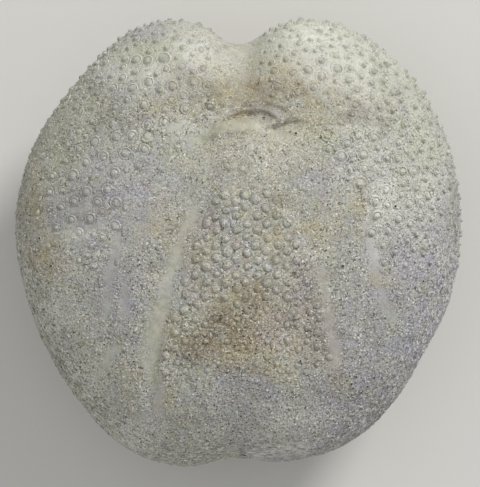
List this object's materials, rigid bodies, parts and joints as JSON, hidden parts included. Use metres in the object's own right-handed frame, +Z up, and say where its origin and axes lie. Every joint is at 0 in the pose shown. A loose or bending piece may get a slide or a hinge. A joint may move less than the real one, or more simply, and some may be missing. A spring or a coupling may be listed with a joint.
{
  "type": "fossil heart urchin",
  "caption": "Heart-shaped fossil sea urchin filled with chalk, lying on its domed back with the mouth side and its tubercled shield up.",
  "frame": {"origin": "on the resting face, under the middle of the outline", "axes": "+Z up, out of the mouth side; +Y towards the front, where the notch is; +X to the right as seen from above"},
  "size_m": [0.0276, 0.0277, 0.0165],
  "materials": {
    "stone": "matte weathered chalk and calcite, pale grey-cream with rusty stains"
  },
  "bodies": {
    "root": {"urchin_test": "stone"}
  },
  "joints": []
}
